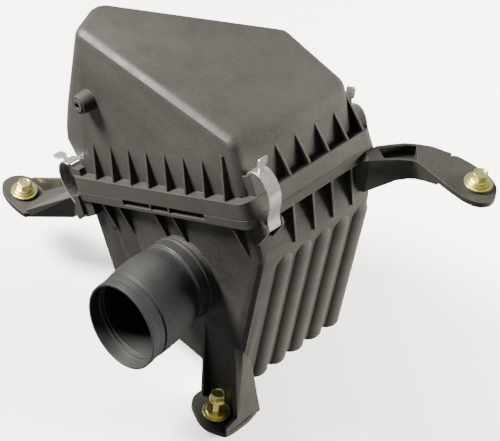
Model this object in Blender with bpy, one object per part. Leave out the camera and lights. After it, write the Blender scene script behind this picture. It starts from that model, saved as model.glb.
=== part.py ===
"""Engine air filter housing: a lower housing with three mounting feet, a lid held by
four spring clips, a panel filter between them and a clip-in inlet duct.

All driving dimensions are in millimetres. +Z is the axis of the mounting bolts. The
parting plane between lid and housing is tilted about Y: places on it are given as
(u, v, w), with u up the slope, v along Y and w square to the plane. Its zero is the
middle of the top of the lid's band.
"""

import math

import bmesh
import bpy
from mathutils import Matrix, Vector

MM = 0.001

# Parting plane and flange
TILT = math.radians(30.4)
FLANGE_LEFT = -117.0
FLANGE_RIGHT = 113.0
FLANGE_HALF = 73.8
FLANGE_RADIUS = 10.0
BAND_LOW = -14.5
HOUSING_TOP = -14.8
HOUSING_FLANGE_LOW = -22.6
WALL = 2.8

# Lid
LID_TOP_Z = 91.4
LID_TOP = [(66.0, -59.5), (68.5, 67.0), (-7.0, 76.5), (-131.5, -26.5), (-114.0, -65.0)]
LID_BASE = (-110.0, 104.0, 65.0)
LID_KNEE = (-122.5, 64.2, 35.0)
LEDGE = 3.0
LID_RIBS_FRONT = [-79.0, -55.0, -31.0, -7.0, 17.0, 41.0, 65.0, 89.6]
LID_RIBS_SIDE = [-20.0, 1.7, 23.6, 45.5, 64.0]
BOSS_CENTRE = (-90.8, 30.7)
BOSS_RADIUS = 9.0
BOSS_END_Y = -77.0

# Lower housing, as a section across X and Z
HOUSING_HALF = 65.0
HOUSING_LEFT_U = -115.0
HOUSING_RIGHT_U = 101.5
SHOULDER_W = -58.0
BOTTOM_Z = -160.0
BOTTOM_RIGHT_X = 107.5
GUSSETS_FRONT = [-81.5, -59.5, -11.5, 12.6, 88.5]
GUSSETS_SIDE = [-26.3, -4.0, 17.7, 40.5]
SLOTS = [(-48.6, -12.3), (-10.7, 11.8), (13.4, 58.1)]
GROOVES_U = [-87.0, -61.5]
GROOVE_ENDS = (-100.0, -50.0)
FLUTE_CENTRES = [-36.0, -13.8, 8.3, 30.5, 52.8]
FLUTE_RADIUS = 13.4
FLUTE_DEPTH = 9.6

# Inlet duct: the middle of the pad it seats on, of its bend and of its mouth
DUCT_ROOT = Vector((40.2, -68.2, -71.0))
DUCT_BEND = Vector((40.2, -83.0, -71.0))
DUCT_MOUTH = Vector((46.1, -145.0, -75.8))
MOUTH_FACES = Vector((0.02, -1.0, 0.08)).normalized()
MOUTH_BLEND = 40.0
DUCT_BORE = 28.0
COLLAR_RADIUS = 35.8
COLLAR_LIP = 36.6
PAD_RADIUS = 35.0
PAD_DEPTH = 13.5

# Outlet spigot on the back of the lid
SPIGOT_BASE = Vector((-72.0, 23.0, 12.0))
SPIGOT_END = Vector((-106.6, 64.5, 12.0))
SPIGOT_RADIUS = 29.0
SPIGOT_BORE = 26.0

# Feet: the bolt's place and the height of the top of its washer
FEET = {
    "left": Vector((-168.4, -65.4, -130.0)),
    "front": Vector((103.0, -80.0, -176.0)),
    "right": Vector((189.6, 102.2, 47.7)),
}
FOOT_OUTLINES = {
    "left": [
        (-23.5, -3.0), (-20.0, -9.5), (-13.0, -14.2), (-1.0, -17.6), (14.0, -18.2), (24.0, -17.0),
        (25.0, 18.0), (-9.0, 18.0), (-18.5, 12.5), (-23.0, 5.0),
    ],
    "front": [
        (-26.0, 12.0), (-26.0, -2.0), (-21.0, -9.5), (-13.5, -13.0), (-3.0, -17.2), (6.0, -17.6),
        (14.5, -14.2), (23.5, -9.5), (23.4, 16.0), (19.0, 34.0), (-8.0, 25.0), (-21.0, 20.0),
    ],
    "right": [
        (-39.0, -19.5), (-24.0, -20.4), (-8.0, -21.0), (5.0, -20.6), (15.4, -16.4), (20.4, -8.4),
        (19.0, 0.0), (12.0, 9.4), (2.0, 14.4), (-20.0, 14.6), (-37.0, 11.0),
    ],
}  # fmt: skip
ARM_BACK = [
    (105.4, 60.9), (107.4, 71.0), (112.8, 81.0), (119.5, 91.9), (126.0, 98.5), (136.0, 106.4),
    (152.3, 113.0),
]  # fmt: skip
ARM_FRONT = [
    (116.0, 53.4), (123.1, 63.7), (130.6, 73.5), (137.6, 80.4), (142.3, 82.5), (153.0, 82.2),
    (165.0, 82.0),
]  # fmt: skip
ARM_DEPTH = [35.0, 29.5, 23.0, 20.0, 18.0, 12.5, 7.5]
ARM_WALL = 2.6
ARM_CHANNEL = 9.0
LEG_WALL = 2.8
PLATE = 5.0
STACK = 4.5
FRONT_BOLT_RAISED = 13.0
CONTACT = 16.0
ORIGIN = FEET["front"] - Vector((CONTACT, 0.0, STACK + PLATE))

# Spring clips: outward direction, place along the flange's edge and height of each
CLIPS = {
    "clip_front": ("u+", -54.0, 0.0),
    "clip_left": ("u-", -66.0, -10.5),
    "clip_back_right": ("v+", 82.0, -8.0),
    "clip_back_left": ("v+", -66.0, -8.0),
}
CLIP_PIN = (1.8, -27.2)
EAR_FEET = {
    "clip_front": (-13.0, -43.0),
    "clip_left": (-6.0, -25.0),
    "clip_back_right": (-13.0, -43.0),
    "clip_back_left": (-13.0, -43.0),
}
TAB_UPRIGHT = [(8.2, 20.8), (10.4, 25.0), (15.6, 33.6)]
TAB_FLAT = [(7.0, 21.6), (11.4, 23.8), (20.8, 26.4)]
TAB_WIDTH = 10.4
NECK_WIDTH = 5.2
CLIP_WIDTH = 12.8
CLIP_THICK = 1.0
CATCH_TOP = 19.0

PLASTIC = ("matte_plastic", (0.035, 0.034, 0.033, 1.0), 0.0, 0.5)
RUBBER = ("rubber", (0.015, 0.015, 0.015, 1.0), 0.0, 0.8)
URETHANE = ("urethane", (0.75, 0.22, 0.06, 1.0), 0.0, 0.7)
PAPER = ("filter_paper", (0.72, 0.66, 0.5, 1.0), 0.0, 0.9)
SPRING_STEEL = ("spring_steel", (0.75, 0.76, 0.78, 1.0), 1.0, 0.3)
YELLOW_ZINC = ("yellow_zinc", (0.78, 0.7, 0.38, 1.0), 1.0, 0.3)


def tilted(u, v, w):
    """A place given on the parting plane, in the upright frame."""
    return Vector(
        (
            u * math.cos(TILT) - w * math.sin(TILT),
            v,
            u * math.sin(TILT) + w * math.cos(TILT),
        )
    )


def clear_scene():
    for obj in list(bpy.data.objects):
        bpy.data.objects.remove(obj, do_unlink=True)


def new_collection(name):
    found = bpy.data.collections.new(name)
    bpy.context.scene.collection.children.link(found)
    found.hide_render = True
    return found


def object_of(mesh_builder, name, collection):
    """An object from a bmesh in millimetres, with its normals facing out."""
    bmesh.ops.remove_doubles(mesh_builder, verts=mesh_builder.verts, dist=1e-4)
    bmesh.ops.recalc_face_normals(mesh_builder, faces=mesh_builder.faces)
    for vertex in mesh_builder.verts:
        vertex.co = (vertex.co - ORIGIN) * MM
    mesh = bpy.data.meshes.new(name)
    mesh_builder.to_mesh(mesh)
    mesh_builder.free()
    obj = bpy.data.objects.new(name, mesh)
    (collection or bpy.context.scene.collection).objects.link(obj)
    if collection:
        obj.hide_render = True
        obj.display_type = "WIRE"
    return obj


def hull(points, name, collection, round_edges=0.0, keep_sharp_below=None):
    """The convex hull of the points. Edges above the given w are rounded."""
    made = bmesh.new()
    for point in points:
        made.verts.new(point)
    result = bmesh.ops.convex_hull(made, input=made.verts)
    unused = {item for item in result["geom_interior"] + result["geom_unused"]}
    bmesh.ops.delete(
        made,
        geom=[item for item in unused if isinstance(item, bmesh.types.BMVert)],
        context="VERTS",
    )
    bmesh.ops.dissolve_limit(
        made, angle_limit=math.radians(1.0), verts=made.verts, edges=made.edges
    )
    if round_edges:
        edges = [
            edge
            for edge in made.edges
            if edge.calc_face_angle(0.0) > math.radians(12)
            and not all(keep_sharp_below(vertex.co) for vertex in edge.verts)
        ]
        bmesh.ops.bevel(
            made,
            geom=edges,
            offset=round_edges,
            segments=3,
            profile=0.5,
            affect="EDGES",
            clamp_overlap=True,
        )
    return object_of(made, name, collection)


def prism(outline, low, high, place, name, collection):
    """An outline of (a, b) pairs drawn out from low to high; place(a, b, c) sets each."""
    made = bmesh.new()
    rings = []
    for level in (low, high):
        rings.append([made.verts.new(place(a, b, level)) for a, b in outline])
    made.faces.new(rings[0])
    made.faces.new(rings[1])
    count = len(outline)
    for i in range(count):
        j = (i + 1) % count
        made.faces.new((rings[0][i], rings[0][j], rings[1][j], rings[1][i]))
    return object_of(made, name, collection)


def lathe(profile, base, axis, name, collection, segments=32):
    """A closed profile of (radius, height) pairs turned about an axis through base."""
    turn = axis.to_track_quat("Z", "Y").to_matrix()
    made = bmesh.new()
    rings = []
    for radius, height in profile:
        if radius < 1e-6:
            rings.append([made.verts.new(base + turn @ Vector((0, 0, height)))])
            continue
        ring = []
        for step in range(segments):
            angle = 2 * math.pi * step / segments
            local = Vector(
                (radius * math.cos(angle), radius * math.sin(angle), height)
            )
            ring.append(made.verts.new(base + turn @ local))
        rings.append(ring)
    for first, second in zip(rings, rings[1:] + rings[:1]):
        if len(first) == 1 and len(second) == 1:
            continue
        for step in range(segments):
            after = (step + 1) % segments
            corners = [first[step % len(first)], first[after % len(first)]]
            corners += [second[after % len(second)], second[step % len(second)]]
            kept = list(dict.fromkeys(corners))
            made.faces.new(kept)
    return object_of(made, name, collection)


def rounded_rectangle(left, right, low, high, radius, steps=5):
    corners = [
        (right - radius, high - radius, 0),
        (left + radius, high - radius, 90),
        (left + radius, low + radius, 180),
        (right - radius, low + radius, 270),
    ]
    outline = []
    for x, y, start in corners:
        for step in range(steps + 1):
            angle = math.radians(start + 90 * step / steps)
            outline.append((x + radius * math.cos(angle), y + radius * math.sin(angle)))
    return outline


def inset(outline, distances):
    """A convex anticlockwise outline with each side moved in by its own distance."""
    count = len(outline)
    moved = []
    for i in range(count):
        start = Vector(outline[i])
        end = Vector(outline[(i + 1) % count])
        along = (end - start).normalized()
        inward = Vector((-along.y, along.x))
        moved.append((start + inward * distances[i], along))
    corners = []
    for i in range(count):
        point, along = moved[i - 1]
        other, other_along = moved[i]
        cross = along.x * other_along.y - along.y * other_along.x
        gap = other - point
        share = (gap.x * other_along.y - gap.y * other_along.x) / cross
        corners.append(tuple(point + along * share))
    return corners


def combine(obj, collection, operation):
    modifier = obj.modifiers.new(operation.title(), "BOOLEAN")
    modifier.operation = operation
    modifier.solver = "EXACT"
    modifier.operand_type = "COLLECTION"
    modifier.collection = collection


def give_material(obj, material):
    name, colour, metallic, roughness = material
    found = bpy.data.materials.get(name) or bpy.data.materials.new(name)
    found.use_nodes = True
    shader = found.node_tree.nodes["Principled BSDF"]
    shader.inputs["Base Color"].default_value = colour
    shader.inputs["Metallic"].default_value = metallic
    shader.inputs["Roughness"].default_value = roughness
    found.diffuse_color = colour
    obj.data.materials.clear()
    obj.data.materials.append(found)


def set_origin(obj, point):
    """Moves the object's own origin to a place given in millimetres."""
    place = (point - ORIGIN) * MM
    obj.data.transform(Matrix.Translation(-place))
    obj.location = place


def on_u(u):
    return lambda a, b, level: tilted(u + level, a, b)


def across_v(a, b, level):
    return tilted(a, level, b)


def along_w(a, b, level):
    return tilted(a, b, level)


def along_y(a, b, level):
    return Vector((a, level, b))


def along_z(a, b, level):
    return Vector((a, b, level))


def clip_frame(name):
    """place(outward, w, sideways) for the clip with this name."""
    side, middle, lift = CLIPS[name]
    if side == "u+":
        return lambda a, b, level: tilted(FLANGE_RIGHT + a, middle + level, b + lift)
    if side == "u-":
        return lambda a, b, level: tilted(FLANGE_LEFT - a, middle + level, b + lift)
    return lambda a, b, level: tilted(middle + level, FLANGE_HALF + a, b + lift)


# Lid


def lid_points(wall, base_w):
    """Corners of the lid's walls, moved in by the wall's thickness."""
    left, right, half = LID_BASE
    knee_u, knee_v, knee_w = LID_KNEE
    top = inset(LID_TOP, [wall] * len(LID_TOP))
    points = [Vector((x, y, LID_TOP_Z - wall)) for x, y in top]
    for v in (-half + wall, half - wall):
        points.append(tilted(left + wall, v, base_w))
        points.append(tilted(right - wall, v, base_w))
    points.append(tilted(knee_u + wall, -knee_v + wall, knee_w))
    return points


def is_at_base(base_w):
    sine, cosine = math.sin(TILT), math.cos(TILT)
    return lambda place: -place.x * sine + place.z * cosine < base_w + 0.5


def lid_adds():
    adds = new_collection("lid_adds")
    band = rounded_rectangle(
        FLANGE_LEFT, FLANGE_RIGHT, -FLANGE_HALF, FLANGE_HALF, FLANGE_RADIUS
    )
    prism(band, BAND_LOW, 0.0, along_w, "lid_band", adds)
    for u in LID_RIBS_FRONT:
        outline = [(-60.0, -1.0), (-73.0, -1.0), (-73.0, 0.5), (-63.6, 36.0), (-58.0, 30.0)]
        prism(outline, -1.0, 1.0, on_u(u), f"lid_rib_front_{u:.0f}", adds)
    for v in LID_RIBS_SIDE:
        outline = [(98.0, -1.0), (112.2, -1.0), (112.2, 0.5), (100.6, 38.0), (96.0, 34.0)]
        prism(outline, v - 1.0, v + 1.0, across_v, f"lid_rib_side_{v:.0f}", adds)
    boss = [(0.0, -6.0), (BOSS_RADIUS + 0.8, -6.0), (BOSS_RADIUS, 9.0)]
    boss += [(BOSS_RADIUS - 1.2, 14.0), (0.0, 14.0)]
    boss_base = Vector((BOSS_CENTRE[0], BOSS_END_Y + 14.0, BOSS_CENTRE[1]))
    lathe(boss, boss_base, Vector((0, -1, 0)), "lid_boss", adds, 24)
    spigot_axis = SPIGOT_END - SPIGOT_BASE
    length = spigot_axis.length
    spigot = [(0.0, 0.0), (SPIGOT_RADIUS, 0.0), (SPIGOT_RADIUS, length - 7.0)]
    spigot += [(SPIGOT_RADIUS + 1.6, length - 5.0), (SPIGOT_RADIUS, length)]
    spigot += [(0.0, length)]
    lathe(spigot, SPIGOT_BASE, spigot_axis, "lid_spigot", adds, 40)
    for name in CLIPS:
        lid_catch(name, adds)
    return adds


def lid_catch(name, adds):
    """The raised catch that a clip's hook holds down."""
    foot = -1.0 - CLIPS[name][2]
    outline = [(-14.0, foot), (-0.4, foot), (-0.4, CATCH_TOP), (-3.6, CATCH_TOP)]
    outline += [(-4.2, CATCH_TOP - 1.4), (-14.0, CATCH_TOP - 2.4)]
    prism(outline, -5.2, 5.2, clip_frame(name), f"{name}_catch", adds)


def lid_cuts():
    cuts = new_collection("lid_cuts")
    hull(
        lid_points(WALL, -LEDGE - 1.0),
        "lid_hollow",
        cuts,
        round_edges=5.0,
        keep_sharp_below=is_at_base(-LEDGE - 1.0),
    )
    skirt = rounded_rectangle(
        FLANGE_LEFT + 3.2,
        FLANGE_RIGHT - 3.2,
        -FLANGE_HALF + 3.2,
        FLANGE_HALF - 3.2,
        FLANGE_RADIUS - 3.2,
    )
    prism(skirt, BAND_LOW - 1.0, -LEDGE, along_w, "lid_skirt_hollow", cuts)
    bore = [(0.0, -20.0), (4.6, -20.0), (4.6, 12.5), (6.2, 12.5), (6.2, 15.0), (0.0, 15.0)]
    boss_base = Vector((BOSS_CENTRE[0], BOSS_END_Y + 14.0, BOSS_CENTRE[1]))
    lathe(bore, boss_base, Vector((0, -1, 0)), "lid_boss_bore", cuts, 20)
    spigot_axis = SPIGOT_END - SPIGOT_BASE
    bore = [(0.0, -25.0), (SPIGOT_BORE, -25.0), (SPIGOT_BORE, spigot_axis.length + 1.0)]
    bore += [(0.0, spigot_axis.length + 1.0)]
    lathe(bore, SPIGOT_BASE, spigot_axis, "lid_spigot_bore", cuts, 40)
    return cuts


def build_lid():
    lid = hull(
        lid_points(0.0, -LEDGE + 0.5),
        "lid",
        None,
        round_edges=8.0,
        keep_sharp_below=is_at_base(-LEDGE + 0.5),
    )
    combine(lid, lid_adds(), "UNION")
    combine(lid, lid_cuts(), "DIFFERENCE")
    give_material(lid, PLASTIC)


# Lower housing


def housing_section():
    """Anticlockwise (x, z) corners, from the top left."""
    top_left = tilted(HOUSING_LEFT_U, 0.0, HOUSING_TOP - 0.5)
    top_right = tilted(HOUSING_RIGHT_U, 0.0, HOUSING_TOP - 0.5)
    shoulder = tilted(HOUSING_RIGHT_U, 0.0, SHOULDER_W)
    left_w = (BOTTOM_Z - HOUSING_LEFT_U * math.sin(TILT)) / math.cos(TILT)
    bottom_left = tilted(HOUSING_LEFT_U, 0.0, left_w)
    return [
        (top_left.x, top_left.z),
        (bottom_left.x, bottom_left.z),
        (BOTTOM_RIGHT_X, BOTTOM_Z),
        (shoulder.x, shoulder.z),
        (top_right.x, top_right.z),
    ]


def housing_block(wall, top_rise, rounding, name, collection):
    section = inset(housing_section(), [wall, wall, wall, wall, -top_rise])
    half = HOUSING_HALF - wall
    points = [Vector((x, y, z)) for x, z in section for y in (-half, half)]
    top = HOUSING_TOP - 0.5 + top_rise
    sine, cosine = math.sin(TILT), math.cos(TILT)
    return hull(
        points,
        name,
        collection,
        round_edges=rounding,
        keep_sharp_below=lambda place: -place.x * sine + place.z * cosine > top - 0.5,
    )


def flutes(shrink, collection, label):
    """Five upright rounded flutes that stiffen the right wall."""
    section = housing_section()
    bottom = Vector((section[2][0], 0.0, section[2][1]))
    top = Vector((section[3][0], 0.0, section[3][1]))
    axis = (top - bottom).normalized()
    inward = Vector((-axis.z, 0.0, axis.x))
    radius = FLUTE_RADIUS - shrink
    length = (top - bottom).length - 16.0
    start = bottom + inward * FLUTE_DEPTH + axis * (shrink + 0.5)
    profile = [(0.0, 0.0), (radius - 3.0, 0.0), (radius, 3.0), (radius, length - shrink)]
    profile += [(radius - 0.8, length + 3.0 - shrink), (radius - 4.6, length + 10.0 - shrink)]
    profile += [(0.0, length + 10.0 - shrink)]
    for y in FLUTE_CENTRES:
        base = start + Vector((0.0, y, 0.0))
        lathe(profile, base, axis, f"{label}_{y:.0f}", collection, 20)


def clip_bracket(name, adds):
    """Two ears and the pin on which a clip turns."""
    place = clip_frame(name)
    pin_a, pin_w = CLIP_PIN
    lift = CLIPS[name][2]
    foot_a, foot_w = EAR_FEET[name]
    ear = [(foot_a, HOUSING_TOP - 3.0 - lift), (0.0, HOUSING_TOP - 3.0 - lift)]
    ear += [(3.0, pin_w + 7.0), (pin_a + 3.6, pin_w + 3.0), (pin_a + 3.6, pin_w - 1.5)]
    ear += [(pin_a + 1.4, pin_w - 4.0), (foot_a, foot_w)]
    for side, (low, high) in enumerate(((-9.6, -7.0), (7.0, 9.6))):
        prism(ear, low, high, place, f"{name}_ear_{side}", adds)
    centre = place(pin_a, pin_w, -8.0)
    axis = place(pin_a, pin_w, 8.0) - centre
    pin = [(0.0, 0.0), (1.8, 0.0), (1.8, 16.0), (0.0, 16.0)]
    lathe(pin, centre, axis, f"{name}_pin", adds, 16)


def rounded(outline, times=2):
    """The outline with each corner cut off again and again, a fifth of each side at a time."""
    for _ in range(times):
        cut = []
        for start, end in zip(outline, outline[1:] + outline[:1]):
            for share in (0.2, 0.8):
                cut.append(tuple(Vector(start).lerp(Vector(end), share)))
        outline = cut
    return outline


def foot_plate(name, adds):
    foot = FEET[name]
    outline = [(foot.x + x, foot.y + y) for x, y in rounded(FOOT_OUTLINES[name])]
    top = foot.z - STACK
    prism(outline, top - PLATE, top, along_z, f"{name}_foot_plate", adds)


def left_arm(adds):
    """A ramp from the foot up to the left wall, with an upright web along its back."""
    foot_plate("left", adds)
    ramp = [(-150.0, -81.0, -134.5), (-109.0, -57.5, -99.0), (-145.6, -80.0, -139.5)]
    ramp += [(-110.0, -57.5, -126.5), (-158.0, -50.0, -134.5), (-134.5, -50.0, -111.0)]
    ramp += [(-160.0, -50.0, -139.5), (-109.0, -48.0, -126.5), (-109.0, -48.0, -90.0)]
    hull([Vector(point) for point in ramp], "left_arm_ramp", adds)
    root = [(-111.0, -57.3, -101.0), (-111.0, -57.3, -126.5), (-111.0, -48.0, -92.0)]
    root += [(-111.0, -46.0, -126.5), (-80.0, -57.3, -84.0), (-90.0, -57.3, -104.0)]
    root += [(-76.0, -56.0, -92.0), (-80.0, -26.0, -82.0), (-72.0, -26.0, -102.0)]
    hull([Vector(point) for point in root], "left_arm_root", adds)
    web = [(-176.6, -138.0), (-176.6, -132.5), (-154.3, -116.5), (-135.8, -102.6)]
    web += [(-100.0, -76.0), (-84.0, -76.0), (-74.0, -96.0), (-110.0, -124.0)]
    prism(web, -50.6, -47.8, along_y, "left_arm_web", adds)


def front_leg(adds):
    """The leg stands on the front wall, near its right end, and leans to the right."""
    foot_plate("front", adds)
    foot = FEET["front"]
    top = foot.z - STACK
    low = top - PLATE
    leg = [(64.0, -63.0, -92.0), (98.0, -63.0, -86.0), (64.0, -65.3, -100.0)]
    leg += [(98.0, -65.8, -92.0), (81.0, -77.0, low), (125.0, -77.0, low)]
    leg += [(82.0, -56.0, low), (121.0, -47.0, low), (106.0, -60.0, -100.0)]
    hull([Vector(point) for point in leg], "front_leg_body", adds)
    side = [(97.0, -64.0, -92.0), (111.0, -70.0, -140.0), (124.6, -77.5, -171.0)]
    side += [(124.6, -77.5, low), (122.6, -46.0, low), (115.0, -50.0, -150.0)]
    side += [(106.0, -56.0, -108.0)]
    toe = [(124.6, -76.0, -170.0), (125.4, -90.5, -173.5), (125.4, -89.0, low)]
    toe += [(124.6, -76.0, low)]
    for label, outer in (("side", side), ("toe", toe)):
        points = [Vector(point) for point in outer]
        points += [point - Vector((LEG_WALL, 0.0, 0.0)) for point in points]
        hull(points, f"front_leg_{label}", adds)


def right_arm(adds):
    """A curved arm from the back right corner, hollowed from above as far as its foot."""
    foot_plate("right", adds)
    top = FEET["right"].z - STACK
    for i in range(len(ARM_BACK) - 1):
        segment = []
        for j in (i, i + 1):
            for x, y in (ARM_BACK[j], ARM_FRONT[j]):
                segment.append(Vector((x, y, top)))
                segment.append(Vector((x, y, top - ARM_DEPTH[j])))
        hull(segment, f"right_arm_{i}", adds)
    root = [(101.0, 46.0, 32.0), (101.0, 62.0, 32.0), (104.0, 46.0, 8.0), (104.0, 62.0, 8.0)]
    root += [(105.2, 60.0, top), (107.0, 58.0, top), (115.9, 53.5, top - 35.0)]
    root += [(115.5, 53.5, top), (110.0, 64.0, top - 32.0)]
    hull([Vector(point) for point in root], "right_arm_root", adds)


def right_arm_channel(cuts):
    """What is taken out of the arm between its front and back walls."""
    top = FEET["right"].z - STACK
    for i in range(1, len(ARM_BACK) - 3):
        segment = []
        for j in (i, i + 1):
            back = Vector(ARM_BACK[j])
            front = Vector(ARM_FRONT[j])
            across = (front - back).normalized()
            for x, y in (back + across * ARM_WALL, front - across * ARM_WALL):
                segment.append(Vector((x, y, top + 4.0)))
                segment.append(Vector((x, y, top - ARM_CHANNEL)))
        hull(segment, f"right_arm_channel_{i}", cuts)


def housing_adds():
    adds = new_collection("housing_adds")
    flange = rounded_rectangle(
        FLANGE_LEFT, FLANGE_RIGHT, -FLANGE_HALF, FLANGE_HALF, FLANGE_RADIUS
    )
    prism(flange, HOUSING_FLANGE_LOW, HOUSING_TOP, along_w, "housing_flange", adds)
    for u in GUSSETS_FRONT:
        outline = [(-63.5, -20.0), (-73.0, -20.0), (-73.0, -23.0), (-64.4, -57.0), (-63.5, -57.0)]
        prism(outline, -1.0, 1.0, on_u(u), f"gusset_front_{u:.0f}", adds)
    for v in GUSSETS_SIDE:
        outline = [(100.0, -20.0), (112.2, -20.0), (112.2, -23.0), (102.2, -57.0), (100.0, -57.0)]
        prism(outline, v - 1.0, v + 1.0, across_v, f"gusset_side_{v:.0f}", adds)
    flutes(0.0, adds, "flute")
    pad = [(0.0, -7.5), (PAD_RADIUS + 1.0, -7.5), (PAD_RADIUS, 0.0), (0.0, 0.0)]
    lathe(pad, DUCT_ROOT, Vector((0, -1, 0)), "inlet_pad", adds, 40)
    for name in CLIPS:
        clip_bracket(name, adds)
    block = [(-115.0, -20.0), (-99.0, -20.0), (-99.0, -36.0), (-113.0, -40.0)]
    prism(block, -72.0, -60.0, across_v, "left_clip_block", adds)
    left_arm(adds)
    front_leg(adds)
    right_arm(adds)
    return adds


def housing_cuts():
    cuts = new_collection("housing_cuts")
    housing_block(WALL, 3.0, 6.0, "housing_hollow", cuts)
    flutes(WALL, cuts, "flute_hollow")
    for low, high in SLOTS:
        slot = [(low, -80.0), (high, -80.0), (high, -68.6), (low, -68.6)]
        prism(slot, -19.6, -13.0, along_w, f"slot_{low:.0f}", cuts)
    for u in GROOVES_U:
        groove = [(u - 5.0, -65.4), (u + 5.0, -65.4), (u + 1.4, -63.6), (u - 1.4, -63.6)]
        prism(groove, *GROOVE_ENDS, along_w, f"groove_{u:.0f}", cuts)
    bore = [(0.0, -18.0), (DUCT_BORE + 4.4, -18.0), (DUCT_BORE + 4.4, 8.0), (0.0, 8.0)]
    lathe(bore, DUCT_ROOT, Vector((0, -1, 0)), "housing_inlet_hole", cuts, 40)
    floor = FEET["front"].z - STACK + 0.1
    pocket = [(66.8, -66.4, -106.0), (96.0, -66.4, -104.0), (66.8, -90.0, -106.0)]
    pocket += [(96.0, -90.0, -104.0), (83.0, -67.0, floor), (121.2, -67.0, floor)]
    pocket += [(83.0, -90.0, floor), (121.2, -90.0, floor)]
    hull([Vector(point) for point in pocket], "leg_pocket", cuts)
    right_arm_channel(cuts)
    for name, foot in FEET.items():
        hole = [(0.0, -20.0), (9.0, -20.0), (9.0, 20.0), (0.0, 20.0)]
        lathe(hole, foot, Vector((0, 0, 1)), f"{name}_foot_hole", cuts, 28)
    return cuts


def build_housing():
    housing = housing_block(0.0, 0.0, 8.0, "lower_housing", None)
    combine(housing, housing_adds(), "UNION")
    combine(housing, housing_cuts(), "DIFFERENCE")
    give_material(housing, PLASTIC)


# Inlet duct


def duct_centre(height):
    """The middle of the duct at this distance from its mouth: a slanted line as far as
    the bend, then straight into the housing."""
    slant = DUCT_BEND - DUCT_MOUTH
    if height < slant.length:
        return DUCT_MOUTH + slant.normalized() * height
    return DUCT_BEND + Vector((0.0, height - slant.length, 0.0))


def duct_facing(height):
    """The turn of the duct's rings, from the mouth's own direction to the wall's."""
    share = max(0.0, 1.0 - height / MOUTH_BLEND)
    back = Vector((0, 1, 0)).lerp(-MOUTH_FACES, share)
    return back.normalized().to_track_quat("Z", "Y").to_matrix()


def duct_tube(profile):
    made = bmesh.new()
    segments = 48
    rings = []
    for radius, height in profile:
        turn = duct_facing(height)
        ring = []
        for step in range(segments):
            angle = 2 * math.pi * step / segments
            local = Vector((radius * math.cos(angle), radius * math.sin(angle), 0.0))
            ring.append(made.verts.new(duct_centre(height) + turn @ local))
        rings.append(ring)
    for first, second in zip(rings, rings[1:] + rings[:1]):
        for step in range(segments):
            after = (step + 1) % segments
            made.faces.new((first[step], first[after], second[after], second[step]))
    return object_of(made, "inlet_duct", None)


def build_inlet():
    bend = (DUCT_BEND - DUCT_MOUTH).length
    length = bend + (DUCT_ROOT - DUCT_BEND).length
    seat = length - 2.8
    end = length + PAD_DEPTH
    profile = [
        (38.1, 0.0), (38.1, 6.0), (37.7, 6.6), (37.7, 14.2), (36.9, 14.8), (36.9, 15.8),
        (38.2, 16.6), (38.8, 26.0), (38.8, 38.0), (38.2, 46.0), (36.8, 52.0), (35.2, 56.0),
        (34.2, 59.5), (34.2, bend - 0.8), (35.4, bend - 0.2), (COLLAR_RADIUS, bend + 0.5),
        (COLLAR_RADIUS, seat - 2.4), (COLLAR_LIP, seat - 2.0), (COLLAR_LIP, seat),
        (DUCT_BORE + 4.0, seat), (DUCT_BORE + 4.0, end), (DUCT_BORE + 5.4, end + 0.5),
        (DUCT_BORE + 3.0, end + 4.0), (DUCT_BORE + 1.0, end + 4.0), (DUCT_BORE + 1.0, 62.0),
        (30.0, 54.0), (33.0, 46.0), (34.6, 22.0), (34.6, 15.2), (33.6, 14.4), (33.6, 13.4),
        (34.9, 12.7), (34.9, 11.7), (33.8, 11.0), (33.8, 10.0), (35.5, 9.2), (36.2, 0.0),
    ]  # fmt: skip
    give_material(duct_tube(profile), PLASTIC)
    gasket = [(DUCT_BORE + 4.3, 0.3), (DUCT_BORE + 4.3, 2.5), (PAD_RADIUS, 2.5)]
    gasket += [(PAD_RADIUS, 0.3)]
    ring = lathe(gasket, DUCT_ROOT, Vector((0, -1, 0)), "inlet_gasket", None, 40)
    give_material(ring, RUBBER)


# Filter


def build_filter():
    outer = rounded_rectangle(
        FLANGE_LEFT + 3.8,
        FLANGE_RIGHT - 3.8,
        -FLANGE_HALF + 3.8,
        FLANGE_HALF - 3.8,
        FLANGE_RADIUS - 3.8,
    )
    seal = prism(outer, HOUSING_TOP + 0.3, -LEDGE - 0.3, along_w, "filter_seal", None)
    cuts = new_collection("filter_cuts")
    opening = rounded_rectangle(-107.0, 96.0, -57.0, 57.0, 3.0)
    prism(opening, -20.0, 0.0, along_w, "filter_opening", cuts)
    combine(seal, cuts, "DIFFERENCE")
    give_material(seal, URETHANE)
    pleats = 22
    left, right = -106.4, 95.4
    step = (right - left) / (2 * pleats)
    top = []
    for i in range(2 * pleats + 1):
        top.append((left + i * step, -6.0 if i % 2 else -34.0))
    bottom = [(u, w - 8.0) for u, w in reversed(top)]
    media = prism(top + bottom, -56.6, 56.6, across_v, "filter_media", None)
    give_material(media, PAPER)


# Spring clips


def strip(path, thickness):
    """The outline of a bent strip from the middle line of its section."""
    left, right = [], []
    for i, point in enumerate(path):
        before = Vector(path[max(i - 1, 0)])
        after = Vector(path[min(i + 1, len(path) - 1)])
        along = (after - before).normalized()
        normal = Vector((-along.y, along.x)) * thickness / 2
        left.append(tuple(Vector(point) + normal))
        right.append(tuple(Vector(point) - normal))
    return left + right[::-1]


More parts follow.
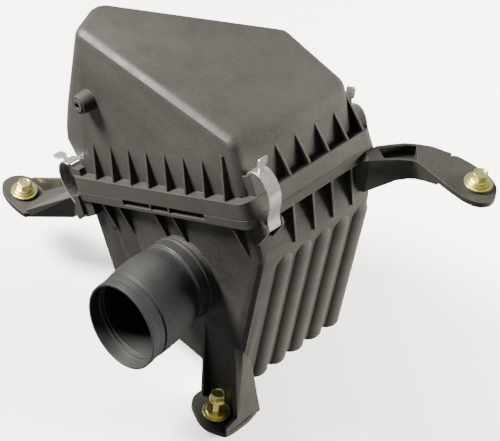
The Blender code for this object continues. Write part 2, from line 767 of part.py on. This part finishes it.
def clip_tab(name, adds):
    """The thumb tab: a plate with rounded corners on a narrow neck."""
    place = clip_frame(name)
    root, start, end = [Vector(p) for p in (TAB_FLAT if name == "clip_left" else TAB_UPRIGHT)]
    length = (end - start).length
    along = (end - start).normalized()
    across = Vector((-along.y, along.x)) * CLIP_THICK / 2
    outline = rounded_rectangle(0.0, length, -TAB_WIDTH / 2, TAB_WIDTH / 2, 2.4, 3)
    points = []
    for distance, sideways in outline:
        for side in (-1, 1):
            a, w = start + along * distance + across * side
            points.append(place(a, w, sideways))
    hull(points, f"{name}_tab", adds)
    neck = strip([tuple(root), tuple(start), tuple(start + along * 2.0)], CLIP_THICK * 0.96)
    prism(neck, -NECK_WIDTH / 2, NECK_WIDTH / 2, place, f"{name}_neck", adds)


def build_clip(name):
    pin_a, pin_w = CLIP_PIN
    path = []
    for angle in range(150, 361, 30):
        turn = math.radians(angle)
        path.append((pin_a + 2.8 * math.cos(turn), pin_w + 2.8 * math.sin(turn)))
    path += [(4.9, -22.5), (6.6, -18.0), (10.2, -12.5), (13.6, -6.5), (15.9, 0.5)]
    path += [(16.4, 7.0), (15.4, 13.0), (12.8, 18.2), (8.8, 21.6), (4.2, 22.6)]
    path += [(0.6, 21.9), (-1.6, 20.5)]
    place = clip_frame(name)
    half = CLIP_WIDTH / 2
    clip = prism(strip(path, CLIP_THICK), -half, half, place, name, None)
    adds = new_collection(f"{name}_adds")
    clip_tab(name, adds)
    combine(clip, adds, "UNION")
    give_material(clip, SPRING_STEEL)
    set_origin(clip, place(pin_a, pin_w, 0.0))
    for obj in adds.objects:
        obj.data.transform(Matrix.Translation(-clip.location))
        obj.location = clip.location


# Fixings


def build_fixing(name, foot):
    """The rubber grommet, flanged sleeve, washer and bolt of one foot."""
    up = Vector((0, 0, 1))
    plate_top = -STACK
    bottom = plate_top - PLATE
    grommet = [(5.9, bottom), (8.7, bottom), (8.7, plate_top + 0.3)]
    grommet += [(12.0, plate_top + 0.3), (12.0, plate_top + 1.1)]
    grommet += [(11.5, plate_top + 1.5), (5.9, plate_top + 1.5)]
    give_material(lathe(grommet, foot, up, f"grommet_{name}", None, 28), RUBBER)
    sleeve = [(3.6, bottom), (5.6, bottom), (5.6, plate_top + 1.8)]
    sleeve += [(11.9, plate_top + 1.8), (11.9, plate_top + 2.8), (3.6, plate_top + 2.8)]
    give_material(lathe(sleeve, foot, up, f"sleeve_{name}", None, 32), YELLOW_ZINC)
    washer = [(3.6, -1.4), (9.0, -1.4), (9.0, 0.0), (3.6, 0.0)]
    give_material(lathe(washer, foot, up, f"washer_{name}", None, 28), YELLOW_ZINC)
    raised = FRONT_BOLT_RAISED if name == "front" else 0.0
    base = foot + up * (raised + 0.3)
    shank = [(0.0, -28.0), (2.2, -28.0), (3.0, -26.5), (3.0, 0.0), (7.6, 0.0)]
    shank += [(7.6, 0.9), (6.4, 1.6), (0.0, 1.6)]
    bolt = lathe(shank, base, up, f"bolt_{name}", None, 24)
    adds = new_collection(f"bolt_{name}_adds")
    hexagon = [
        (base.x + 6.6 * math.cos(math.radians(a)), base.y + 6.6 * math.sin(math.radians(a)))
        for a in range(15, 375, 60)
    ]
    prism(hexagon, base.z + 1.0, base.z + 7.8, along_z, f"bolt_{name}_head", adds)
    combine(bolt, adds, "UNION")
    give_material(bolt, YELLOW_ZINC)
    set_origin(bolt, base)
    for obj in adds.objects:
        obj.data.transform(Matrix.Translation(-bolt.location))
        obj.location = bolt.location


def build_boss_grommet():
    base = Vector((BOSS_CENTRE[0], BOSS_END_Y + 14.0, BOSS_CENTRE[1]))
    profile = [(2.6, -4.0), (4.3, -4.0), (4.3, 12.8), (5.9, 12.8), (5.9, 15.2), (2.6, 15.2)]
    grommet = lathe(profile, base, Vector((0, -1, 0)), "port_grommet", None, 20)
    give_material(grommet, RUBBER)


def main():
    clear_scene()
    build_housing()
    build_lid()
    build_inlet()
    build_filter()
    for name in CLIPS:
        build_clip(name)
    for name, foot in FEET.items():
        build_fixing(name, foot)
    build_boss_grommet()


main()
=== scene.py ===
"""Looks for the engine air filter housing: moulded plastic, spring steel, yellow zinc,
rubber, urethane and pleated paper, in a plain pale studio."""

import math

import bmesh
import bpy
from mathutils import Matrix, Vector


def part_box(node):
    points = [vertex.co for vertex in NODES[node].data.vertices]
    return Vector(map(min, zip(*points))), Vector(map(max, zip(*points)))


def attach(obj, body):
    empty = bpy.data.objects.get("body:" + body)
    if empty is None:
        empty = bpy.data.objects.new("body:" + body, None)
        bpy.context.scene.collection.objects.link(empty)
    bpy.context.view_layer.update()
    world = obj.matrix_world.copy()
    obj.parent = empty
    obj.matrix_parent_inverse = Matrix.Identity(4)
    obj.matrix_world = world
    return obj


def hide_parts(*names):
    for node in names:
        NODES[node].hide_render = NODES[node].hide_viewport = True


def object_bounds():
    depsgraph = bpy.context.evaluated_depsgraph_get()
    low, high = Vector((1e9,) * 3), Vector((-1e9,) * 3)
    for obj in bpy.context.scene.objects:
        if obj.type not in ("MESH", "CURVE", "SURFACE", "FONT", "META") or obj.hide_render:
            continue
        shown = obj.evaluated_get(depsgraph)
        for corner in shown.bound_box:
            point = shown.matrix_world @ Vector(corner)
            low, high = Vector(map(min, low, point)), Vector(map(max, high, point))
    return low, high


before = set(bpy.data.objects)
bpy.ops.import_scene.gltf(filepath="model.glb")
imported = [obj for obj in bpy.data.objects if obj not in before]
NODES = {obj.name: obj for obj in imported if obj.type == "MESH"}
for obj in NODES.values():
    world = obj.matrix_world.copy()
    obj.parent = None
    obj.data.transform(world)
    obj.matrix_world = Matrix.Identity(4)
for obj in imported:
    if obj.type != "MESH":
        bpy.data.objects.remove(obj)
cad_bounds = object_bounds()

# The middle of the lid's band in the shared frame, in metres, and the camera that looks at it:
# angles in radians, distance in metres, lens in millimetres, shift as shares of the frame.
BAND_CENTRE = Vector((-0.087, 0.080, 0.1855))
VIEW_YAW = 0.724
VIEW_ELEVATION = 0.744
VIEW_ROLL = 0.117
VIEW_DISTANCE = 1.6537
VIEW_LENS = 142.9
VIEW_SHIFT = (0.0638, -0.1377)
SENSOR_WIDTH = 36.0

# Lights, placed from the band's middle: offset and size in metres, power in watts.
LAMP_COLOUR = (1.0, 0.97, 0.91)
LEFT_LAMP = (Vector((-1.15, -0.8, 1.25)), (0.6, 0.6), 235.0)
RIGHT_LAMP = (Vector((0.95, 1.2, 0.20)), (0.9, 0.5), 275.0)
SKY_COLOUR = (0.66, 0.78, 1.0, 1.0)
SKY_FILL = 0.10
SHINE_COLOUR = (1.0, 0.98, 0.94, 1.0)
SKY_SHINE = 0.62

# The floor is white to the eye but throws back little light, as a distant backdrop does.
FLOOR_HALF_WIDTH = 30.0
FLOOR_GAP = 0.0005
FLOOR_BOUNCE = 0.10
FLOOR_LIFT = 0.16

# Plastics: the darkest and lightest grey of each moulding, and the tint of its black.
WARM_BLACK = (1.0, 0.94, 0.85)
COOL_BLACK = (0.97, 0.98, 1.0)
HOUSING_GREYS = (0.015, 0.025)
LID_GREYS = (0.017, 0.027)
DUCT_GREYS = (0.010, 0.0165)
# The pale grey painted onto sharp plastic edges as a highlight.
EDGE_HIGHLIGHT_GREY = 0.10

# How far the edges of the CAD nodes are rounded, in metres.
EDGE_HOUSING = 0.0005
EDGE_LID = 0.0006
EDGE_DUCT = 0.0003
EDGE_METAL = 0.00022
EDGE_RUBBER = 0.0003
EDGE_SEAL = 0.0008
SHARP_ANGLE = math.radians(28)
FLAT_ANGLE = math.radians(0.6)
WELD_DISTANCE = 2e-6

# The flanged bolts, in metres from the underside of the flange along the axis.
BOLT_TOP = 0.0078
BOLT_TIP = -0.028
TIP_RADIUS = 0.0020
TIP_CHAMFER = 0.0008
SHANK_RADIUS = 0.003
THREAD_TOP = -0.0035
THREAD_DEPTH = 0.00042
THREAD_PITCH = 0.001
RINGS_PER_TURN = 6
ROUND_STEPS = 48
# (height, radius) from the runout of the thread up over the flange.
FLANGE_PROFILE = (
    (THREAD_TOP + 0.0004, SHANK_RADIUS),
    (-0.0003, SHANK_RADIUS),
    (0.0, 0.0033),
    (0.0, 0.0073),
    (0.0003, 0.0076),
    (0.0008, 0.0076),
    (0.0011, 0.0073),
    (0.0016, 0.0067),
)
HEX_FLAT = 0.0057
HEX_LOW = 0.0018
HEX_HIGH = BOLT_TOP - 0.0011
HEX_CHAMFER = 0.0056
CHAMFER_TOP = BOLT_TOP - 0.0001
CHAMFER_SLOPE = math.tan(math.radians(30))
# (height, radius) of the flat rim of the head and the dish inside it.
DISH_PROFILE = (
    (BOLT_TOP, HEX_CHAMFER - 0.0003),
    (BOLT_TOP, 0.0044),
    (BOLT_TOP - 0.0004, 0.0040),
)

FEET = ("front", "left", "right")
CLIPS = ("clip_front", "clip_left", "clip_back_right", "clip_back_left")


# Node helpers


class Graph:
    """A material's node tree, with short calls to add and join nodes."""

    def __init__(self, name):
        self.material = bpy.data.materials.new(name)
        self.material.use_nodes = True
        self.tree = self.material.node_tree
        self.shader = self.tree.nodes["Principled BSDF"]

    def put(self, target, value):
        if isinstance(value, bpy.types.NodeSocket):
            self.tree.links.new(value, target)
        else:
            target.default_value = value

    def node(self, kind, inputs=None, **settings):
        made = self.tree.nodes.new(kind)
        for key, value in settings.items():
            setattr(made, key, value)
        for key, value in (inputs or {}).items():
            self.put(made.inputs[key], value)
        return made

    def place(self, scale=(1.0, 1.0, 1.0)):
        """Object coordinates in metres, stretched by scale."""
        source = self.node("ShaderNodeTexCoord").outputs["Object"]
        mapping = self.node("ShaderNodeMapping", {"Vector": source, "Scale": scale})
        return mapping.outputs["Vector"]

    def noise(self, scale, detail=3.0, roughness=0.55, where=None):
        made = self.node(
            "ShaderNodeTexNoise",
            {
                "Vector": where or self.place(),
                "Scale": scale,
                "Detail": detail,
                "Roughness": roughness,
            },
        )
        return made.outputs["Fac"]

    def spread(self, value, low, high, start=0.0, end=1.0):
        """Maps start..end onto low..high."""
        made = self.node(
            "ShaderNodeMapRange",
            {"Value": value, "From Min": start, "From Max": end, "To Min": low, "To Max": high},
        )
        return made.outputs["Result"]

    def math(self, operation, first, second=0.0):
        made = self.node("ShaderNodeMath", {0: first, 1: second}, operation=operation)
        return made.outputs["Value"]

    def mix(self, share, first, second):
        made = self.node("ShaderNodeMix", data_type="RGBA")
        self.put(made.inputs[0], share)
        self.put(made.inputs[6], first)
        self.put(made.inputs[7], second)
        return made.outputs[2]

    def rounded_normal(self, radius):
        """The surface normal with its edges rounded off."""
        made = self.node("ShaderNodeBevel", {"Radius": radius}, samples=6)
        return made.outputs["Normal"]

    def edges(self, rounded):
        """1 on sharp edges, 0 on flat material."""
        true = self.node("ShaderNodeNewGeometry").outputs["Normal"]
        dot = self.node("ShaderNodeVectorMath", {0: rounded, 1: true}, operation="DOT_PRODUCT")
        return self.spread(dot.outputs["Value"], 1.0, 0.0, 0.80, 0.995)

    def bump(self, height, strength, distance, normal=None):
        made = self.node(
            "ShaderNodeBump", {"Height": height, "Strength": strength, "Distance": distance}
        )
        if normal is not None:
            self.put(made.inputs["Normal"], normal)
        return made.outputs["Normal"]

    def finish(self, **inputs):
        for key, value in inputs.items():
            self.put(self.shader.inputs[key.replace("_", " ")], value)
        return self.material


def grey(value, tint=(1.0, 1.0, 1.0)):
    return (value * tint[0], value * tint[1], value * tint[2], 1.0)


# Materials


def moulded_plastic(name, greys, tint):
    """Satin black polypropylene: fine spark-eroded grain, flow clouding, dust, and a painted
    highlight on the sharp edges.
    """
    dark, light = greys
    g = Graph(name)
    rounded = g.rounded_normal(0.0007)
    edge = g.edges(rounded)
    cloud = g.noise(9.0, 4.0)
    streak = g.noise(22.0, 5.0, 0.6, g.place((1.0, 1.0, 3.0)))
    base = g.mix(g.spread(cloud, 0.0, 1.0, 0.3, 0.7), grey(dark, tint), grey(light, tint))
    dust = g.spread(streak, 0.0, 0.35, 0.45, 0.75)
    dusty = g.mix(dust, base, grey(light * 1.35, tint))
    speckle = g.spread(g.noise(640.0, 3.0, 0.7), 0.0, 0.5, 0.42, 0.66)
    dusty = g.mix(speckle, dusty, grey(light * 1.5, tint))
    # Painted highlight: sharp edges mixed towards a pale grey, broken up by noise.
    edge_highlight = g.math("MULTIPLY", edge, g.spread(g.noise(140.0), 0.35, 0.9, 0.3, 0.7))
    colour = g.mix(g.math("MULTIPLY", edge_highlight, 0.7), dusty, grey(EDGE_HIGHLIGHT_GREY, tint))
    grain = g.node(
        "ShaderNodeTexVoronoi", {"Vector": g.place(), "Scale": 1500.0}, feature="SMOOTH_F1"
    ).outputs["Distance"]
    fine = g.noise(2600.0, 2.0)
    height = g.math("ADD", g.math("MULTIPLY", grain, 0.7), g.math("MULTIPLY", fine, 0.5))
    ripple = g.bump(g.noise(30.0, 2.0), 0.10, 0.004, rounded)
    normal = g.bump(height, 0.30, 0.00022, ripple)
    rough = g.spread(g.noise(60.0, 4.0), 0.46, 0.60, 0.3, 0.7)
    return g.finish(
        Base_Color=colour, Roughness=rough, Specular_IOR_Level=0.30, Normal=normal
    )


def spring_steel():
    """Bright galvanised strip with fine rolling lines and faint spangle."""
    g = Graph("spring_steel")
    rounded = g.rounded_normal(0.0005)
    spangle = g.node("ShaderNodeTexVoronoi", {"Vector": g.place(), "Scale": 260.0})
    lines = g.noise(420.0, 3.0, 0.6, g.place((1.0, 4.0, 0.15)))
    tone = g.math("ADD", g.spread(spangle.outputs["Distance"], -0.05, 0.05), lines)
    colour = g.mix(
        g.spread(tone, 0.0, 1.0, 0.3, 0.7), (0.70, 0.70, 0.69, 1.0), (0.90, 0.90, 0.88, 1.0)
    )
    rough = g.spread(lines, 0.24, 0.40, 0.3, 0.7)
    normal = g.bump(lines, 0.12, 0.0002, rounded)
    return g.finish(Base_Color=colour, Metallic=1.0, Roughness=rough, Normal=normal)


def yellow_zinc():
    """Yellow chromate over zinc: straw colour that drifts to green and rose."""
    g = Graph("yellow_zinc")
    rounded = g.rounded_normal(0.0004)
    drift = g.noise(190.0, 3.0)
    straw = g.mix(
        g.spread(drift, 0.0, 1.0, 0.35, 0.65), (0.80, 0.77, 0.32, 1.0), (0.74, 0.64, 0.22, 1.0)
    )
    bloom = g.spread(g.noise(330.0, 2.0), 0.0, 0.45, 0.55, 0.75)
    colour = g.mix(bloom, straw, (0.62, 0.76, 0.38, 1.0))
    scuff = g.noise(900.0, 4.0, 0.7)
    rough = g.spread(scuff, 0.22, 0.42, 0.3, 0.7)
    normal = g.bump(scuff, 0.15, 0.00012, rounded)
    return g.finish(Base_Color=colour, Metallic=1.0, Roughness=rough, Normal=normal)


def rubber():
    g = Graph("rubber")
    rounded = g.rounded_normal(0.0004)
    bloom = g.noise(240.0, 4.0)
    colour = g.mix(g.spread(bloom, 0.0, 1.0, 0.4, 0.75), grey(0.013), grey(0.035))
    normal = g.bump(g.noise(1900.0, 3.0), 0.25, 0.0002, rounded)
    rough = g.spread(bloom, 0.62, 0.82)
    return g.finish(Base_Color=colour, Roughness=rough, Normal=normal)


def urethane():
    """Orange moulded urethane with a pebbled skin and a few pinholes."""
    g = Graph("urethane")
    cells = g.node(
        "ShaderNodeTexVoronoi", {"Vector": g.place(), "Scale": 620.0}, feature="SMOOTH_F1"
    ).outputs["Distance"]
    mottle = g.noise(70.0, 4.0)
    colour = g.mix(
        g.spread(mottle, 0.0, 1.0, 0.35, 0.7), (0.26, 0.066, 0.014, 1.0), (0.33, 0.105, 0.026, 1.0)
    )
    pinhole = g.spread(g.noise(700.0, 1.0), 0.0, 0.5, 0.68, 0.74)
    colour = g.mix(pinhole, colour, (0.13, 0.03, 0.007, 1.0))
    normal = g.bump(cells, 0.3, 0.0004)
    return g.finish(
        Base_Color=colour, Roughness=0.62, Normal=normal, Subsurface_Weight=0.08
    )


def filter_paper():
    """Resin-treated filter paper: soft fibres, cross ribbing and tone along the folds."""
    g = Graph("filter_paper")
    fibre = g.noise(900.0, 5.0, 0.7, g.place((1.0, 0.35, 1.0)))
    emboss = g.node(
        "ShaderNodeTexWave",
        {"Vector": g.place(), "Scale": 160.0, "Distortion": 0.4},
        bands_direction="Y",
    ).outputs["Fac"]
    colour = g.mix(
        g.spread(fibre, 0.0, 1.0, 0.3, 0.7), (0.26, 0.225, 0.14, 1.0), (0.33, 0.30, 0.21, 1.0)
    )
    height = g.math("ADD", g.math("MULTIPLY", fibre, 0.6), g.math("MULTIPLY", emboss, 0.4))
    normal = g.bump(height, 0.35, 0.0003)
    return g.finish(Base_Color=colour, Roughness=0.9, Normal=normal, Sheen_Weight=0.2)


# Finishing the CAD nodes


def soften(obj, width):
    """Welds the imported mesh, rounds its sharp edges and shades it smooth between them."""
    mesh = obj.data
    if mesh.has_custom_normals:
        with bpy.context.temp_override(object=obj, active_object=obj, mesh=mesh):
            bpy.ops.mesh.customdata_custom_splitnormals_clear()
    mesh.shade_smooth()
    weld = obj.modifiers.new("Weld", "WELD")
    weld.merge_threshold = WELD_DISTANCE
    flat = obj.modifiers.new("Flat", "DECIMATE")
    flat.decimate_type = "DISSOLVE"
    flat.angle_limit = FLAT_ANGLE
    bevel = obj.modifiers.new("Bevel", "BEVEL")
    bevel.width = width
    bevel.segments = 2
    bevel.limit_method = "ANGLE"
    bevel.angle_limit = SHARP_ANGLE
    bevel.use_clamp_overlap = True
    bevel.harden_normals = True
    bevel.miter_outer = "MITER_ARC"


def dress(names, material, edge=None):
    for name in names:
        obj = NODES[name]
        obj.data.materials.clear()
        obj.data.materials.append(material)
        if edge:
            soften(obj, edge)


# Bolts with a chamfered hexagon and a rolled thread, in place of the plain CAD ones


def hex_radius(angle):
    """How far the head's hexagon reaches at an angle round its axis."""
    corner = math.radians(60)
    return HEX_FLAT / math.cos((angle % corner) - corner / 2)


def thread_radius(angle, height):
    """The shank's radius where the helix leaves it: flat crests over rounded roots."""
    share = (height / THREAD_PITCH + angle / (2 * math.pi)) % 1.0
    root = min(1.0, max(0.0, 1.35 * abs(2 * share - 1) - 0.2))
    return SHANK_RADIUS - THREAD_DEPTH * root * root * (3 - 2 * root)


def chamfer_height(angle):
    """Where the cone that chamfers the head meets the hexagon's side."""
    return CHAMFER_TOP - CHAMFER_SLOPE * max(0.0, hex_radius(angle) - HEX_CHAMFER)


def steady(value):
    """A height or radius that is the same all round."""
    return lambda angle: value


def thread_rows():
    """Rings of the threaded shank, evenly spaced from the tip's chamfer up."""
    start = BOLT_TIP + TIP_CHAMFER
    count = int((THREAD_TOP - start) / THREAD_PITCH * RINGS_PER_TURN) + 1
    rows = []
    for step in range(count):
        height = start + step * THREAD_PITCH / RINGS_PER_TURN
        rows.append((steady(height), lambda angle, height=height: thread_radius(angle, height)))
    return rows


def bolt_rows():
    """(height, radius) from the tip to the dish in the head, each a function of the angle."""
    rows = [(steady(BOLT_TIP), steady(TIP_RADIUS))]
    rows += thread_rows()
    rows += [(steady(height), steady(radius)) for height, radius in FLANGE_PROFILE]
    rows.append((steady(HEX_LOW), hex_radius))
    rows.append((steady(HEX_HIGH), hex_radius))
    rows.append((chamfer_height, hex_radius))
    rows += [(steady(height), steady(radius)) for height, radius in DISH_PROFILE]
    return rows


def bolt_mesh(name):
    """One closed skin through all the bolt's rows, with a flat cap at each end."""
    made = bmesh.new()
    rings = []
    for height, radius in bolt_rows():
        ring = []
        for step in range(ROUND_STEPS):
            angle = 2 * math.pi * step / ROUND_STEPS
            reach = radius(angle)
            point = (reach * math.cos(angle), reach * math.sin(angle), height(angle))
            ring.append(made.verts.new(point))
        rings.append(ring)
    for lower, upper in zip(rings, rings[1:]):
        for step in range(ROUND_STEPS):
            after = (step + 1) % ROUND_STEPS
            made.faces.new((lower[step], lower[after], upper[after], upper[step]))
    made.faces.new(reversed(rings[0]))
    made.faces.new(rings[-1])
    mesh = bpy.data.meshes.new(name)
    made.to_mesh(mesh)
    made.free()
    mesh.shade_smooth()
    mesh.set_sharp_from_angle(angle=SHARP_ANGLE)
    return mesh


def build_bolts(zinc):
    """A detailed bolt over each plain one, on the same axis and with the same top."""
    for foot in FEET:
        node = f"bolt_{foot}"
        low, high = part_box(node)
        name = f"{node}_threaded"
        bolt = bpy.data.objects.new(name, bolt_mesh(name))
        centre = (Vector(low) + Vector(high)) / 2
        bolt.location = (centre.x, centre.y, high[2] - BOLT_TOP)
        bolt.data.materials.append(zinc)
        bpy.context.scene.collection.objects.link(bolt)
        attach(bolt, node)
        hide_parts(node)


def dress_nodes():
    housing = moulded_plastic("housing_plastic", HOUSING_GREYS, WARM_BLACK)
    lid = moulded_plastic("lid_plastic", LID_GREYS, WARM_BLACK)
    duct = moulded_plastic("duct_plastic", DUCT_GREYS, COOL_BLACK)
    dress(["lower_housing"], housing, EDGE_HOUSING)
    dress(["lid"], lid, EDGE_LID)
    dress(["inlet_duct"], duct, EDGE_DUCT)
    dress(CLIPS, spring_steel(), EDGE_METAL)
    zinc = yellow_zinc()
    for foot in FEET:
        dress([f"sleeve_{foot}", f"washer_{foot}", f"bolt_{foot}"], zinc, EDGE_METAL)
    build_bolts(zinc)
    grommets = [f"grommet_{foot}" for foot in FEET]
    dress(["inlet_gasket", "port_grommet"] + grommets, rubber(), EDGE_RUBBER)
    dress(["filter_seal"], urethane(), EDGE_SEAL)
    dress(["filter_media"], filter_paper())


# Studio


def build_floor():
    """A pale floor just under the feet, brighter to the camera than to the object."""
    low = cad_bounds[0][2]
    mesh = bpy.data.meshes.new("floor")
    made = bmesh.new()
    bmesh.ops.create_grid(made, x_segments=1, y_segments=1, size=FLOOR_HALF_WIDTH)
    made.to_mesh(mesh)
    made.free()
    floor = bpy.data.objects.new("floor", mesh)
    floor.location = (0.0, 0.0, low - FLOOR_GAP)
    bpy.context.scene.collection.objects.link(floor)
    g = Graph("floor")
    seen = g.node("ShaderNodeLightPath").outputs["Is Camera Ray"]
    paper = g.spread(g.noise(3.0), 0.95, 0.97)
    tone = g.math("MULTIPLY", paper, g.spread(seen, FLOOR_BOUNCE, 1.0))
    colour = g.node("ShaderNodeCombineColor", {"Red": tone, "Green": tone, "Blue": tone})
    floor.data.materials.append(
        g.finish(
            Base_Color=colour.outputs["Color"],
            Roughness=0.9,
            Specular_IOR_Level=0.0,
            Emission_Color=(1.0, 1.0, 1.0, 1.0),
            Emission_Strength=g.math("MULTIPLY", seen, FLOOR_LIFT),
        )
    )


def area_light(name, offset, size, power):
    """A rectangular lamp, offset from the band's middle and turned to face it."""
    light = bpy.data.lights.new(name, "AREA")
    light.shape = "RECTANGLE"
    light.size, light.size_y = size
    light.energy = power
    light.color = LAMP_COLOUR
    obj = bpy.data.objects.new(name, light)
    obj.location = BAND_CENTRE + offset
    obj.rotation_euler = (-offset).to_track_quat("-Z", "Y").to_euler()
    bpy.context.scene.collection.objects.link(obj)
    return obj


def build_world():
    """A dim cool sky that fills the shadows, and a brighter neutral one for reflections."""
    world = bpy.data.worlds.new("studio")
    world.use_nodes = True
    tree = world.node_tree
    background = tree.nodes["Background"]
    mirrored = tree.nodes.new("ShaderNodeLightPath").outputs["Is Glossy Ray"]
    colour = tree.nodes.new("ShaderNodeMix")
    colour.data_type = "RGBA"
    colour.inputs[6].default_value = SKY_COLOUR
    colour.inputs[7].default_value = SHINE_COLOUR
    strength = tree.nodes.new("ShaderNodeMapRange")
    strength.inputs["To Min"].default_value = SKY_FILL
    strength.inputs["To Max"].default_value = SKY_SHINE
    tree.links.new(mirrored, colour.inputs[0])
    tree.links.new(mirrored, strength.inputs["Value"])
    tree.links.new(colour.outputs[2], background.inputs["Color"])
    tree.links.new(strength.outputs["Result"], background.inputs["Strength"])
    bpy.context.scene.world = world


def build_lights():
    area_light("left", *LEFT_LAMP)
    right = area_light("right", *RIGHT_LAMP)
    # The right lamp shapes the flutes. If it showed in reflections, it would glare on the lid.
    right.visible_glossy = False


def build_camera():
    """Looks down on the corner between the inlet wall and the fluted wall."""
    yaw, elevation, roll = VIEW_YAW, VIEW_ELEVATION, VIEW_ROLL
    back = Vector(
        (
            math.sin(yaw) * math.cos(elevation),
            -math.cos(yaw) * math.cos(elevation),
            math.sin(elevation),
        )
    )
    level = Vector((math.cos(yaw), math.sin(yaw), 0.0))
    upright = back.cross(level)
    right = level * math.cos(roll) + upright * math.sin(roll)
    up = upright * math.cos(roll) - level * math.sin(roll)
    camera = bpy.data.cameras.new("camera")
    camera.lens = VIEW_LENS
    camera.sensor_width = SENSOR_WIDTH
    camera.shift_x, camera.shift_y = VIEW_SHIFT
    camera.clip_end = 100.0
    obj = bpy.data.objects.new("camera", camera)
    turn = Matrix((right, up, back)).transposed().to_4x4()
    obj.matrix_world = Matrix.Translation(BAND_CENTRE + back * VIEW_DISTANCE) @ turn
    bpy.context.scene.collection.objects.link(obj)
    bpy.context.scene.camera = obj


dress_nodes()
build_floor()
build_world()
build_lights()
build_camera()
